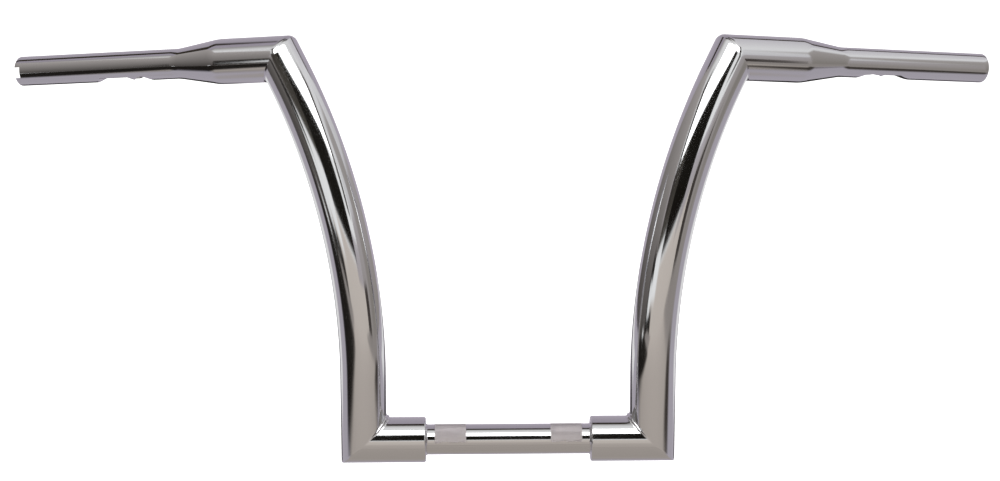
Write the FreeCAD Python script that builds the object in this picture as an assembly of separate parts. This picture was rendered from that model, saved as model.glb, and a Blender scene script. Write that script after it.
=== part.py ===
import FreeCAD, Part
import math
import os

# Tall welded handlebar of fat round tube, narrowing to standard bar size at the clamp and at the grips.
# Origin: middle of the clamp tube, on its axis. +X to the rider's left, +Y back to the rider, +Z up.
# Sizes are in millimetres and degrees.

# Tube stock
FAT_OD = 38.1
FAT_WALL = 2.4
BAR_OD = 25.4
BAR_WALL = 2.4

# Clamp tube with its two knurled seats, which stand a little proud of the plain tube
SEAT_SPACING = 97.0
SEAT_WIDTH = 26.2
SEAT_RISE = 0.2

# Stubs: the short fat tubes that carry the clamp tube in a turned reducing ring
STUB_GAP = 138.0
STUB_EDGE_BEVEL = 1.5
REDUCER_LENGTH = 20.0
CORNER_SPACING = 242.0
EXIT_HOLE_D = 16.0
EXIT_HOLE_INSET = 19.0
EXIT_HOLE_ANGLE = 45.0

# Risers: upright at the foot, then one long bend outwards and back, and a short straight top to mitre
RISER_STRAIGHT = 55.0
RISER_BEND_RADIUS = 460.0
RISER_BEND = 33.0
BEND_TURNED_BACK = 34.5
RISER_TOP_STRAIGHT = 12.0

# Grip tubes: swaged from fat tube to bar size, with a land where the swage runs out, swept back and dropped
GRIP_REACH = 253.5
GRIP_SWEEP = 23.0
GRIP_DROP = 5.2
SWAGE_LENGTH = 39.0
SWAGE_ROUND = 45.0
SWAGE_LAND = 15.0
LEFT_SEAT_LENGTH = 148.0
RIGHT_SEAT_LENGTH = 158.0
END_BEVEL = 0.8
REAM_DEPTH = 60.0
REAM_CLEARANCE = 0.3

# Wiring: a pressed dimple and a hole under each grip, with the distances taken from the bar's end. The left
# hole is drawn out to a slot, and the right dimple is the longer one.
DIMPLE_DEPTH = 3.9
DIMPLE_INNER_RAMP = 6.0
LEFT_DIMPLE_START = 79.0
LEFT_DIMPLE_RAMP = 10.0
LEFT_DIMPLE_FLAT = 17.0
RIGHT_DIMPLE_START = 77.5
RIGHT_DIMPLE_RAMP = 5.0
RIGHT_DIMPLE_FLAT = 27.5
WIRE_HOLE_D = 19.0
LEFT_HOLE_FROM_END = 118.3
LEFT_HOLE_STRETCH = 6.5
RIGHT_HOLE_FROM_END = 123.0

# Two opposite notches in the end of the throttle grip, which key the throttle sensor
NOTCH_WIDTH = 9.4
NOTCH_DEPTH = 5.4

# Welds: beads dressed to a bevel, which in the corners touches a hollow of this radius
CORNER_WELD_RADIUS = 4.0
CLAMP_WELD_LEG = 1.8
WELD_SINK = 0.05

# Values that follow from the sizes above
FAT_R = FAT_OD / 2
FAT_BORE_R = FAT_R - FAT_WALL
BAR_R = BAR_OD / 2
BAR_BORE_R = BAR_R - BAR_WALL
OVERRUN = 2 * FAT_OD
UP = FreeCAD.Vector(0, 0, 1)
SIDES = {"left": 1, "right": -1}
SEAT_LENGTHS = {"left": LEFT_SEAT_LENGTH, "right": RIGHT_SEAT_LENGTH}
DIMPLES = {
    "left": (LEFT_DIMPLE_START, LEFT_DIMPLE_RAMP, LEFT_DIMPLE_FLAT),
    "right": (RIGHT_DIMPLE_START, RIGHT_DIMPLE_RAMP, RIGHT_DIMPLE_FLAT),
}
HOLE_ENDS = {
    "left": (LEFT_HOLE_FROM_END - LEFT_HOLE_STRETCH / 2, LEFT_HOLE_FROM_END + LEFT_HOLE_STRETCH / 2),
    "right": (RIGHT_HOLE_FROM_END, RIGHT_HOLE_FROM_END),
}


def unit(vector):
    """The vector at length one."""
    return FreeCAD.Vector(vector).normalize()


def outline(points):
    """Closed wire through (radius, height) points, with an arc where a third value gives a corner radius."""
    corners = [FreeCAD.Vector(point[0], 0, point[1]) for point in points]
    roundings = [sum(point[2:]) for point in points]
    starts, ends, edges = [], [], []
    for index, corner in enumerate(corners):
        before = unit(corner - corners[index - 1])
        after = unit(corners[(index + 1) % len(corners)] - corner)
        half_turn = before.getAngle(after) / 2
        reach = roundings[index] * math.tan(half_turn)
        starts.append(corner - before * reach)
        ends.append(corner + after * reach)
        if roundings[index]:
            inward = unit(after - before)
            middle = corner + inward * roundings[index] * (1 / math.cos(half_turn) - 1)
            edges.append(Part.Arc(starts[-1], middle, ends[-1]).toShape())
    for index, end in enumerate(ends):
        edges.append(Part.LineSegment(end, starts[(index + 1) % len(starts)]).toShape())
    return Part.Wire(Part.__sortEdges__(edges))


def turned(points):
    """Solid of revolution about Z from a closed outline of (radius, height) points."""
    return Part.Face(outline(points)).revolve(FreeCAD.Vector(), UP, 360)


def placed(shape, origin, axis, upward=UP):
    """The shape moved to origin, with its Z along axis and its X as near to upward as that allows."""
    along = unit(axis)
    above = unit(upward - along * upward.dot(along))
    shape.Placement = FreeCAD.Placement(origin, FreeCAD.Rotation(above, along.cross(above), along, "ZXY"))
    return shape


def beyond(point, normal):
    """Block that holds everything near a corner on the far side of the plane through point."""
    return Part.makeCylinder(OVERRUN, 2 * OVERRUN, point, normal)


def disc(radius, centre, normal):
    """Flat round face."""
    return Part.Face(Part.Wire(Part.Circle(centre, normal, radius).toShape()))


class Side:
    """Axis points and directions of one half of the bar."""

    def __init__(self, name):
        sign = SIDES[name]
        self.name = name
        self.outward = FreeCAD.Vector(sign, 0, 0)
        self.face = self.outward * (STUB_GAP / 2)
        self.low_corner = self.outward * (CORNER_SPACING / 2)
        turn = math.radians(BEND_TURNED_BACK)
        self.lean = FreeCAD.Vector(sign * math.cos(turn), math.sin(turn), 0)
        self.bend_start = self.low_corner + UP * RISER_STRAIGHT
        self.bend_end = self.on_bend(RISER_BEND)
        bend = math.radians(RISER_BEND)
        self.riser_top = self.lean * math.sin(bend) + UP * math.cos(bend)
        self.high_corner = self.bend_end + self.riser_top * RISER_TOP_STRAIGHT
        sweep, drop = math.radians(GRIP_SWEEP), math.radians(GRIP_DROP)
        level = FreeCAD.Vector(sign * math.cos(sweep), math.sin(sweep), 0)
        self.grip = level * math.cos(drop) - UP * math.sin(drop)
        self.seat_length = SEAT_LENGTHS[name]

    def on_bend(self, angle):
        """Point of the riser's axis at an angle into its bend."""
        bend = math.radians(angle)
        aside = self.lean * (RISER_BEND_RADIUS * (1 - math.cos(bend)))
        return self.bend_start + aside + UP * (RISER_BEND_RADIUS * math.sin(bend))

    def low_mitre(self):
        """Normal of the mitre between stub and riser, from the stub to the riser."""
        return unit(self.outward + UP)

    def high_mitre(self):
        """Normal of the mitre between riser and grip tube, from the riser to the grip tube."""
        return unit(self.riser_top + self.grip)


def clamp_tube():
    """Plain tube with two knurled seats, its ends flush with the far ends of the reducing rings."""
    half = STUB_GAP / 2 + REDUCER_LENGTH
    inner, outer = (SEAT_SPACING - SEAT_WIDTH) / 2, (SEAT_SPACING + SEAT_WIDTH) / 2
    points = [(BAR_BORE_R, -half), (BAR_R, -half)]
    for low, high in ((-outer, -inner), (inner, outer)):
        points += [(BAR_R, low), (BAR_R + SEAT_RISE, low), (BAR_R + SEAT_RISE, high), (BAR_R, high)]
    points += [(BAR_R, half), (BAR_BORE_R, half)]
    return placed(turned(points), FreeCAD.Vector(), FreeCAD.Vector(1, 0, 0))


def reducer(side):
    """Turned ring that fills the end of the stub round the clamp tube."""
    points = [(BAR_R, 0), (FAT_BORE_R, 0), (FAT_BORE_R, REDUCER_LENGTH), (BAR_R, REDUCER_LENGTH)]
    return placed(turned(points), side.face, side.outward)


def stub(side):
    """Fat tube with a bevelled inner edge, a mitred outer end and a wire exit at the back, facing down."""
    length = (CORNER_SPACING - STUB_GAP) / 2 + OVERRUN
    edge = [(FAT_BORE_R, 0), (FAT_R - STUB_EDGE_BEVEL, 0), (FAT_R, STUB_EDGE_BEVEL)]
    tube = placed(turned(edge + [(FAT_R, length), (FAT_BORE_R, length)]), side.face, side.outward)
    down = math.radians(EXIT_HOLE_ANGLE)
    way_out = FreeCAD.Vector(0, math.cos(down), -math.sin(down))
    hole_at = side.face + side.outward * (REDUCER_LENGTH + EXIT_HOLE_INSET)
    hole = Part.makeCylinder(EXIT_HOLE_D / 2, FAT_OD, hole_at, way_out)
    return tube.cut(hole).cut(beyond(side.low_corner, side.low_mitre()))


def riser_rod(side, radius):
    """Solid rod along the riser's axis, longer than the riser at both ends."""
    foot = side.low_corner - UP * OVERRUN
    top = side.high_corner + side.riser_top * OVERRUN
    bend = Part.Arc(side.bend_start, side.on_bend(RISER_BEND / 2), side.bend_end)
    runs = [Part.LineSegment(foot, side.bend_start), bend, Part.LineSegment(side.bend_end, top)]
    return Part.Wire([run.toShape() for run in runs]).makePipe(disc(radius, foot, UP))


def riser(side):
    """Bent fat tube, mitred to the stub at its foot and to the grip tube at its top."""
    tube = riser_rod(side, FAT_R).cut(riser_rod(side, FAT_BORE_R))
    trimmed = tube.cut(beyond(side.low_corner, -side.low_mitre()))
    return trimmed.cut(beyond(side.high_corner, side.high_mitre()))


def swaged(side, fat_radius, bar_radius, rounding, end_points):
    """Solid rod along Z from inside the upper corner to the bar's end, swaged from one radius to the other."""
    seat = GRIP_REACH - side.seat_length
    root = [(0, -OVERRUN), (fat_radius, -OVERRUN)]
    swage = [(fat_radius, seat - SWAGE_LENGTH, rounding), (bar_radius, seat, rounding)]
    return turned(root + swage + [(bar_radius, seat + SWAGE_LAND)] + end_points)


def dimple(side, depth_from_axis):
    """Block that presses the underside of a grip tube flat, with a ramp at each end of the flat."""
    from_end, ramp, flat = DIMPLES[side.name]
    flat_end = GRIP_REACH - from_end - ramp
    flat_start = flat_end - flat
    below = 2 * (BAR_R - depth_from_axis)
    section = [
        (-depth_from_axis, flat_end),
        (-depth_from_axis - below, flat_end + below * ramp / DIMPLE_DEPTH),
        (-depth_from_axis - below, flat_start - below * DIMPLE_INNER_RAMP / DIMPLE_DEPTH),
        (-depth_from_axis, flat_start),
    ]
    corners = [FreeCAD.Vector(aside, -BAR_R, height) for aside, height in section]
    face = Part.Face(Part.makePolygon(corners + corners[:1]))
    return face.extrude(FreeCAD.Vector(0, BAR_OD, 0))


def wire_hole(side):
    """Block that cuts the wire hole: a rod out of the underside, drawn out to a slot on the left."""
    near, far = [GRIP_REACH - distance for distance in HOLE_ENDS[side.name]]
    out = FreeCAD.Vector(-1, 0, 0)
    rod = Part.makeCylinder(WIRE_HOLE_D / 2, BAR_OD, FreeCAD.Vector(0, 0, near), out)
    if near == far:
        return rod
    other = Part.makeCylinder(WIRE_HOLE_D / 2, BAR_OD, FreeCAD.Vector(0, 0, far), out)
    between = Part.makeBox(BAR_OD, WIRE_HOLE_D, near - far, FreeCAD.Vector(-BAR_OD, -WIRE_HOLE_D / 2, far))
    return rod.fuse([other, between]).removeSplitter()


def grip_tube(side):
    """Swaged tube with a reamed end, a dimple and a wire hole below, and notches on the throttle side."""
    outer_end = [(BAR_R, GRIP_REACH - END_BEVEL), (BAR_R - END_BEVEL, GRIP_REACH), (0, GRIP_REACH)]
    outer = swaged(side, FAT_R, BAR_R, SWAGE_ROUND, outer_end)
    ream = GRIP_REACH - REAM_DEPTH
    ream_r = BAR_BORE_R + REAM_CLEARANCE
    bore_end = [(BAR_BORE_R, ream), (ream_r, ream), (ream_r, GRIP_REACH), (0, GRIP_REACH)]
    bore = swaged(side, FAT_BORE_R, BAR_BORE_R, 0, bore_end)
    flat = BAR_R - DIMPLE_DEPTH
    tube = outer.cut(dimple(side, flat)).cut(bore.cut(dimple(side, flat - BAR_WALL)))
    tube = tube.cut(wire_hole(side))
    if side.name == "right":
        corner = FreeCAD.Vector(-NOTCH_WIDTH / 2, -BAR_OD, GRIP_REACH - NOTCH_DEPTH)
        tube = tube.cut(Part.makeBox(NOTCH_WIDTH, 2 * BAR_OD, 2 * NOTCH_DEPTH, corner))
    placed(tube, side.high_corner, side.grip)
    return tube.cut(beyond(side.high_corner, -side.high_mitre()))


def clamp_weld(side):
    """Bevelled bead round the clamp tube against the face of the reducing ring."""
    points = [(BAR_R, 0), (BAR_R + CLAMP_WELD_LEG, 0), (BAR_R, CLAMP_WELD_LEG)]
    return placed(turned(points), side.face, -side.outward)


def corner_weld(corner, before, after):
    """Bead in the hollow of a mitred corner: what a rod that cuts the corner leaves outside the two tubes."""
    half_turn = before.getAngle(after) / 2
    reach = (FAT_R + CORNER_WELD_RADIUS) * math.tan(half_turn / 2) / math.cos(half_turn)
    start = corner - before * reach
    across = (before + after) * reach
    rod = Part.makeCylinder(FAT_R - WELD_SINK, across.Length, start, across)
    tube_before = Part.makeCylinder(FAT_R, OVERRUN, corner + before * (FAT_R - OVERRUN), before)
    tube_after = Part.makeCylinder(FAT_R, OVERRUN, corner - after * FAT_R, after)
    return rod.cut([tube_before, tube_after])


def lower_weld(side):
    """Bead in the hollow between stub and riser."""
    return corner_weld(side.low_corner, side.outward, UP)


def upper_weld(side):
    """Bead in the hollow between riser and grip tube."""
    return corner_weld(side.high_corner, side.riser_top, side.grip)


PIECES = {
    "stub": stub,
    "reducer": reducer,
    "riser": riser,
    "grip_tube": grip_tube,
    "clamp_weld": clamp_weld,
    "lower_weld": lower_weld,
    "upper_weld": upper_weld,
}


def main():
    """Write one file for each piece."""
    os.makedirs("parts", exist_ok=True)
    clamp_tube().exportStep("parts/clamp_tube.step")
    for name in SIDES:
        side = Side(name)
        for piece, make in PIECES.items():
            make(side).exportStep(f"parts/{name}_{piece}.step")


main()
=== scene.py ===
import logging
import math
from dataclasses import dataclass, replace
from enum import Enum
from typing import Any, Callable, Iterable, Sequence

import bmesh
import bpy
from mathutils import Matrix, Vector, noise


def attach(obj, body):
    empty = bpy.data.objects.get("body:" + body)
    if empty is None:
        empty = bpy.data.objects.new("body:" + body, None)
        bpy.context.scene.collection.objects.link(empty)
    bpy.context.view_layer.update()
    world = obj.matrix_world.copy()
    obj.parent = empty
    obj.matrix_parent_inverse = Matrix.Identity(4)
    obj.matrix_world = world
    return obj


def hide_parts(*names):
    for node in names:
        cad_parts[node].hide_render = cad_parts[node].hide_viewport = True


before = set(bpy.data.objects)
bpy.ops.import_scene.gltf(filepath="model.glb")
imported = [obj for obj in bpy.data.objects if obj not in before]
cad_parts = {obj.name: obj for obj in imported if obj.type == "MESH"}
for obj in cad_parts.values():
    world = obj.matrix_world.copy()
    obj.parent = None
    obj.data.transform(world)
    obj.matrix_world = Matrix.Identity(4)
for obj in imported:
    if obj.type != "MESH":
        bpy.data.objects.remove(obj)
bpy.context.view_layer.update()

# A tall chrome handlebar welded from fat tube: its tubes, rings, knurls and weld beads, in metres.
# Origin: middle of the clamp tube, on its axis. +X to the rider's left, +Y back to the rider, +Z up.
LOG = logging.getLogger("handlebar")
MM = 0.001
UP = Vector((0.0, 0.0, 1.0))
RING_SIDES = 128
BODY = "root"
Range = tuple[float, float]


class Side(Enum):
    """Half of the bar, as the rider sits; the value is the sign of its X."""

    LEFT = 1
    RIGHT = -1

    @property
    def label(self) -> str:
        """The side's word in a piece's name."""
        return self.name.lower()


class Finish(Enum):
    """What a face wears; the value is its place in its piece's list of materials."""

    PLATE = 0
    LINING = 1
    KNURL = 2


class Slot(Enum):
    """Names of material slots."""

    TUBE = "chrome_tube"
    WELD = "chrome_weld"


@dataclass(frozen=True)
class BarSizes:
    """Sizes that several pieces share, in metres and radians."""

    fat_radius: float = 19.05 * MM
    bar_radius: float = 12.7 * MM
    wall: float = 2.4 * MM
    stub_gap: float = 138.0 * MM
    reducer_length: float = 20.0 * MM
    corner_spacing: float = 242.0 * MM
    riser_straight: float = 55.0 * MM
    riser_top: float = 12.0 * MM
    bend_radius: float = 460.0 * MM
    bend: float = math.radians(33.0)
    bend_turned_back: float = math.radians(34.5)
    grip_reach: float = 253.5 * MM
    grip_sweep: float = math.radians(23.0)
    grip_drop: float = math.radians(5.2)

    @property
    def fat_bore(self) -> float:
        """Radius of the fat tube's bore."""
        return self.fat_radius - self.wall


@dataclass(frozen=True)
class Station:
    """One ring of a tube's skin, and the finish of the faces that lead up to it."""

    centre: Vector
    along: Vector
    radius: float
    finish: Finish = Finish.PLATE


@dataclass(frozen=True)
class Corner:
    """Mitred corner where the tube that runs along before meets the one that runs along after."""

    point: Vector
    before: Vector
    after: Vector

    @property
    def half_turn(self) -> float:
        """Half of the angle by which the axis turns."""
        return self.before.angle(self.after) / 2

    @property
    def convex(self) -> Vector:
        """Direction from the first tube's axis to the outside of the corner."""
        return (self.before * self.before.dot(self.after) - self.after).normalized()

    @property
    def normal(self) -> Vector:
        """Normal of the mitre plane."""
        return (self.before + self.after).normalized()

    def backwards(self) -> "Corner":
        """The same corner, met from its other tube."""
        return Corner(self.point, -self.after, -self.before)


@dataclass(frozen=True)
class HalfBar:
    """Axis points and directions of one half of the bar."""

    side: Side
    sizes: BarSizes

    @property
    def outward(self) -> Vector:
        """Direction of the stub, away from the middle."""
        return Vector((self.side.value, 0.0, 0.0))

    @property
    def face(self) -> Vector:
        """Middle of the stub's inner face."""
        return self.outward * (self.sizes.stub_gap / 2)

    @property
    def lean(self) -> Vector:
        """Level direction in which the riser bends."""
        turn = self.sizes.bend_turned_back
        return Vector((self.side.value * math.cos(turn), math.sin(turn), 0.0))

    @property
    def low_corner(self) -> Corner:
        """Corner between stub and riser."""
        return Corner(self.outward * (self.sizes.corner_spacing / 2), self.outward, UP)

    @property
    def high_corner(self) -> Corner:
        """Corner between riser and grip tube.

        Returns:
            The corner, met from the riser.
        """
        end, along = self.on_bend(1.0)
        sweep, drop = self.sizes.grip_sweep, self.sizes.grip_drop
        level = Vector((self.side.value * math.cos(sweep), math.sin(sweep), 0.0))
        grip = level * math.cos(drop) - UP * math.sin(drop)
        return Corner(end + along * self.sizes.riser_top, along, grip)

    def on_bend(self, share: float) -> tuple[Vector, Vector]:
        """Point and direction of the riser's axis in its bend.

        Args:
            share: How far round the bend, from 0 to 1.

        Returns:
            The point, and the direction of the axis there.
        """
        angle = self.sizes.bend * share
        aside = self.lean * (self.sizes.bend_radius * (1 - math.cos(angle)))
        rise = UP * (self.sizes.riser_straight + self.sizes.bend_radius * math.sin(angle))
        return self.low_corner.point + aside + rise, self.lean * math.sin(angle) + UP * math.cos(angle)


def ring_place(station: Station, toward: Vector) -> Matrix:
    """Place of a unit ring at a station.

    Args:
        station: Where the ring goes, and its radius.
        toward: Direction that the ring's own X keeps as near to as it can.

    Returns:
        The matrix that takes a unit circle in XY to the station.
    """
    along = station.along.normalized()
    across = (toward - along * toward.dot(along)).normalized()
    turn = Matrix((across, along.cross(across), along)).transposed().to_4x4()
    return Matrix.Translation(station.centre) @ turn @ Matrix.Scale(station.radius, 4)


def sweep(stations: Sequence[Station], toward: Vector, closed: bool = True) -> bmesh.types.BMesh:
    """Skin of rings through the stations.

    Args:
        stations: The rings in order; a tube's go out along its skin and back along its bore.
        toward: Direction that every ring starts from.
        closed: Whether the last ring is joined to the first.

    Returns:
        The new mesh, with its faces pointing out.
    """
    mesh = bmesh.new()
    bmesh.ops.create_circle(mesh, radius=1.0, segments=RING_SIDES)
    here = ring_place(stations[0], toward)
    bmesh.ops.transform(mesh, matrix=here, verts=mesh.verts[:])
    first = mesh.edges[:]
    last = first
    for station in stations[1:]:
        grown = bmesh.ops.extrude_edge_only(mesh, edges=last)["geom"]
        verts = [part for part in grown if isinstance(part, bmesh.types.BMVert)]
        last = [part for part in grown if isinstance(part, bmesh.types.BMEdge) and part.is_boundary]
        for face in {face for vert in verts for face in vert.link_faces}:
            face.material_index = station.finish.value
        there = ring_place(station, toward)
        bmesh.ops.transform(mesh, matrix=there @ here.inverted(), verts=verts)
        here = there
    if closed:
        bmesh.ops.bridge_loops(mesh, edges=first + last)
    bmesh.ops.recalc_face_normals(mesh, faces=mesh.faces[:])
    return mesh


def lining(rings: Sequence[Station], wall: float) -> list[Station]:
    """Rings of a tube's bore, on the way back along its skin.

    Args:
        rings: Rings of the skin.
        wall: Thickness of the tube.

    Returns:
        The rings of the bore, from the skin's last to its first.
    """
    return [replace(ring, radius=ring.radius - wall, finish=Finish.LINING) for ring in reversed(rings)]


def quarter_turns(steps: int) -> list[float]:
    """Angles that step through a quarter turn, with both its ends."""
    return [math.pi / 2 * step / steps for step in range(steps + 1)]


def run_up(corner: Corner, run: float, radius: float) -> list[Station]:
    """Rings on the straight stretch that ends in a corner, closer together towards the mitre.

    Args:
        corner: The corner that the tube runs into.
        run: Length of the stretch.
        radius: Radius of the tube.

    Returns:
        The rings, in the order in which the tube reaches them.
    """
    steps = 14
    heights = [-run * (1 - step / steps) ** 2 for step in range(steps + 1)]
    return [Station(corner.point + corner.before * height, corner.before, radius) for height in heights]


def mitre(mesh: bmesh.types.BMesh, corner: Corner, run: float, skin: float, ease: float) -> None:
    """Slant a tube's square end to its mitre plane, and ease the outer edge of the mitre.

    Args:
        mesh: Tube that runs into the corner.
        corner: The corner, met from this tube.
        run: Length of the straight stretch that takes up the slant.
        skin: Radius of the tube's skin, so that its bore keeps its own shape.
        ease: Length over which the outer edge is rounded.
    """
    slope = math.tan(corner.half_turn)
    skin_from = 0.99 * skin
    for vert in mesh.verts:
        offset = vert.co - corner.point
        height = offset.dot(corner.before)
        if height < -run:
            continue
        radial = offset - corner.before * height
        aside = radial.dot(corner.convex)
        depth = -height * (1 + max(aside, 0.0) * slope / run)
        if aside > 0 and depth < ease and radial.length > skin_from:
            inset = (ease - depth) ** 2 / (2 * ease) * slope * aside / radial.length
            radial -= radial.normalized() * inset
            aside = radial.dot(corner.convex)
        vert.co = corner.point + radial + corner.before * (height + (1 + height / run) * aside * slope)


def lump(
    verts: Iterable[bmesh.types.BMVert], grain: float, height: float, hold: Callable[[Vector], float]
) -> None:
    """Push vertices along their normals by smooth noise, as a hand-laid bead swells and sinks.

    Args:
        verts: The vertices to move.
        grain: Size of one swelling.
        height: Largest push either way.
        hold: Share of the push that a place takes, from 0 to 1.
    """
    for vert in verts:
        vert.co += vert.normal * (height * hold(vert.co) * noise.noise(vert.co / grain))


def linear(hex_colour: str) -> tuple[float, float, float, float]:
    """Linear colour of an sRGB hex value.

    Args:
        hex_colour: Six hex digits after a hash.

    Returns:
        Red, green, blue and a full alpha.
    """
    parts = [int(hex_colour[place:place + 2], 16) / 255 for place in (1, 3, 5)]
    red, green, blue = [
        part / 12.92 if part <= 0.04045 else ((part + 0.055) / 1.055) ** 2.4 for part in parts
    ]
    return red, green, blue, 1.0


def add_node(
    tree: bpy.types.NodeTree,
    kind: str,
    settings: dict[str, Any] | None = None,
    **sockets: Any,
) -> bpy.types.Node:
    """Add a node with its settings, socket values and links.

    Args:
        tree: Node tree that gets the node.
        kind: Node type.
        settings: Properties of the node itself.
        sockets: Value or feeding socket for each input, with spaces in its name written as underscores;
            in1 and so on name an input by its place.

    Returns:
        The new node.
    """
    made = tree.nodes.new(kind)
    for name, value in (settings or {}).items():
        setattr(made, name, value)
    for name, value in sockets.items():
        key = int(name[2:]) if name.startswith("in") and name[2:].isdigit() else name.replace("_", " ")
        if isinstance(value, bpy.types.NodeSocket):
            tree.links.new(value, made.inputs[key])
        else:
            made.inputs[key].default_value = value
    return made


def new_tree(owner: bpy.types.Material | bpy.types.World) -> bpy.types.NodeTree:
    """Empty the node tree of a material or world.

    Args:
        owner: The material or world.

    Returns:
        Its node tree, with no nodes.
    """
    owner.use_nodes = True
    owner.node_tree.nodes.clear()
    return owner.node_tree


@dataclass(frozen=True)
class MetalFinish:
    """Metal surface: its colour, how its gloss varies, and the fine waves left by how it was made."""

    name: str
    colour: str
    gloss_from: float
    gloss_to: float
    smudge_mm: float
    wave_mm: float
    wave_height_mm: float

    def material(self) -> bpy.types.Material:
        """Material with smudged gloss and waves.

        Returns:
            The new material.
        """
        made = bpy.data.materials.new(self.name)
        tree = new_tree(made)
        place = add_node(tree, "ShaderNodeTexCoord").outputs["Object"]
        smudge = add_node(
            tree, "ShaderNodeTexNoise", Vector=place, Scale=1 / (self.smudge_mm * MM),
            Detail=3.0, Roughness=0.55,
        )
        gloss = add_node(
            tree, "ShaderNodeMapRange", Value=smudge.outputs["Fac"], From_Min=0.3, From_Max=0.7,
            To_Min=self.gloss_from, To_Max=self.gloss_to,
        )
        wave = add_node(
            tree, "ShaderNodeTexNoise", Vector=place, Scale=1 / (self.wave_mm * MM),
            Detail=1.0, Roughness=0.4,
        )
        bump = add_node(
            tree, "ShaderNodeBump", Strength=1.0, Distance=self.wave_height_mm * MM,
            Height=wave.outputs["Fac"],
        )
        surface = add_node(
            tree, "ShaderNodeBsdfPrincipled", Base_Color=linear(self.colour), Metallic=1.0,
            Roughness=gloss.outputs["Result"], Normal=bump.outputs["Normal"],
        )
        add_node(tree, "ShaderNodeOutputMaterial", Surface=surface.outputs["BSDF"])
        return made


# Bright chromium over buffed nickel: a cool mirror that returns about two thirds of the light, with soft
# smudges in its gloss and long shallow waves where the tube was buffed.
POLISHED_CHROME = MetalFinish("polished_chrome_plate", "#D9DADB", 0.06, 0.11, 45.0, 42.0, 0.028)

# The same plate over a bead that was dressed by hand, so its mirror ripples every few millimetres.
WELD_CHROME = MetalFinish("chrome_plate_over_dressed_weld", "#D6D6D8", 0.05, 0.12, 6.0, 3.5, 0.05)

# Plate over a rolled knurl: thin in the grooves and rubbed on the peaks, so it looks pale and matte from a
# step away.
KNURLED_CHROME = MetalFinish("chrome_plate_over_rolled_knurl", "#C2BDBE", 0.5, 0.62, 4.0, 0.9, 0.02)

# Bore of drawn steel tube: plate hardly reaches it, so it is dull and darker, with faint draw marks.
DRAWN_STEEL = MetalFinish("drawn_steel_tube_bore", "#7C7873", 0.38, 0.55, 9.0, 5.0, 0.03)


@dataclass(frozen=True)
class Materials:
    """Materials that the pieces wear, made once."""

    chrome: bpy.types.Material
    weld: bpy.types.Material
    knurl: bpy.types.Material
    bore: bpy.types.Material

    @classmethod
    def make(cls) -> "Materials":
        """Make every material."""
        return cls(*(f.material() for f in (POLISHED_CHROME, WELD_CHROME, KNURLED_CHROME, DRAWN_STEEL)))

    def for_tubes(self) -> list[bpy.types.Material]:
        """Materials in the order of Finish."""
        return [self.chrome, self.bore, self.knurl]


def new_object(
    name: str, mesh: bmesh.types.BMesh, materials: Sequence[bpy.types.Material]
) -> bpy.types.Object:
    """Turn a bmesh into an object at the origin.

    Args:
        name: Name of the object and its mesh.
        mesh: Finished shape, which is freed.
        materials: Materials in the order of the faces' indices.

    Returns:
        The linked object.
    """
    data = bpy.data.meshes.new(name)
    mesh.to_mesh(data)
    mesh.free()
    for material in materials:
        data.materials.append(material)
    made = bpy.data.objects.new(name, data)
    bpy.context.scene.collection.objects.link(made)
    return made


def cut(piece: bpy.types.Object, shape: bmesh.types.BMesh) -> None:
    """Cut a closed shape out of a piece.

    Args:
        piece: Object whose mesh is replaced.
        shape: Closed cutter, which is freed.
    """
    cutter = new_object("cutter", shape, [])
    step = piece.modifiers.new("cut", "BOOLEAN")
    step.operation = "DIFFERENCE"
    step.solver = "EXACT"
    step.object = cutter
    whole = piece.data
    done = piece.evaluated_get(bpy.context.evaluated_depsgraph_get())
    piece.data = bpy.data.meshes.new_from_object(done)
    piece.modifiers.clear()
    piece.data.name = piece.name
    bpy.data.meshes.remove(whole)
    bpy.data.meshes.remove(cutter.data)


def round_cutter(
    base: Vector, axis: Vector, radius: float, length: float, drawn: Vector = Vector()
) -> bmesh.types.BMesh:
    """Closed rod that drills a round hole, or a slot with round ends.

    Args:
        base: Middle of the rod's first end.
        axis: Direction in which it drills.
        radius: Radius of the hole.
        length: Length of the rod.
        drawn: How far, and which way, the hole is drawn out to a slot.

    Returns:
        The rod.
    """
    rod = bmesh.new()
    place = Matrix.Translation(base + axis * (length / 2)) @ axis.to_track_quat("Z", "Y").to_matrix().to_4x4()
    bmesh.ops.create_cone(
        rod, cap_ends=True, segments=RING_SIDES // 2, radius1=radius, radius2=radius,
        depth=length, matrix=place,
    )
    for way in (drawn / 2, -drawn / 2):
        moved = [vert for vert in rod.verts if (vert.co - base).dot(way) > drawn.length_squared / 4]
        bmesh.ops.translate(rod, verts=moved, vec=way)
    return rod


def hand_over(
    node: str,
    mesh: bmesh.types.BMesh,
    materials: Sequence[bpy.types.Material],
    cutters: Sequence[bmesh.types.BMesh] = (),
    crease: float = math.radians(32.0),
) -> None:
    """Make a piece, cut it, shade it and let it ride on the bar in place of a node.

    Args:
        node: Node that the piece stands for.
        mesh: Its shape before cutting, which is freed.
        materials: Materials in the order of the faces' indices.
        cutters: Closed shapes to cut out of it, which are freed.
        crease: Angle past which an edge stays sharp.
    """
    piece = new_object(f"{node}_plated", mesh, materials)
    for shape in cutters:
        cut(piece, shape)
    piece.data.shade_smooth()
    piece.data.set_sharp_from_angle(angle=crease)
    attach(piece, BODY)
    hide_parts(node)
    LOG.info("%s: %d faces", piece.name, len(piece.data.polygons))


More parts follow.
